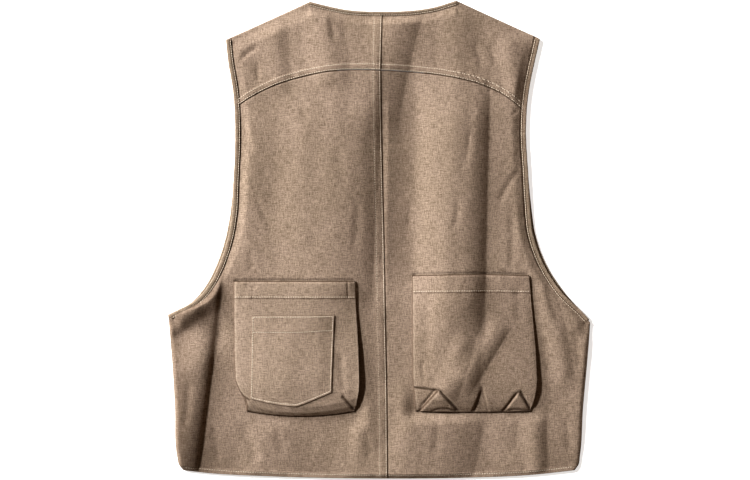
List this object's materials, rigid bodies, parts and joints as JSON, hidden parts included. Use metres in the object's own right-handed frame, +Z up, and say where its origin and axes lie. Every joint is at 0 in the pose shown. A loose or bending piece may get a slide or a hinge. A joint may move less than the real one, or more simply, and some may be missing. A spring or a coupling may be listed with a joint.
{
  "type": "sleeveless canvas vest, laid flat",
  "caption": "Sleeveless canvas vest laid flat with its back up: curved yoke, bound neck and armholes, felled centre seam, large bellows pockets and a flat patch pocket.",
  "frame": {"origin": "middle of the outline, on the surface that the vest lies on", "axes": "+Y from the hem to the neck, +Z up out of the back, +X to the right of a viewer who looks down on the back"},
  "size_m": [0.5803, 0.659, 0.0202],
  "materials": {
    "canvas": "plain-woven linen and cotton canvas, washed, matt",
    "pocket_canvas": "the same canvas, on the pockets",
    "binding": "folded bias binding of the same canvas"
  },
  "bodies": {
    "root": {"back_left": "canvas", "back_right": "canvas", "yoke_left": "canvas", "yoke_right": "canvas", "front_left": "canvas", "front_right": "canvas", "neck_binding": "binding", "armhole_binding_left": "binding", "armhole_binding_right": "binding", "pocket_left": "pocket_canvas", "patch_pocket": "pocket_canvas", "pocket_right": "pocket_canvas"}
  },
  "joints": []
}
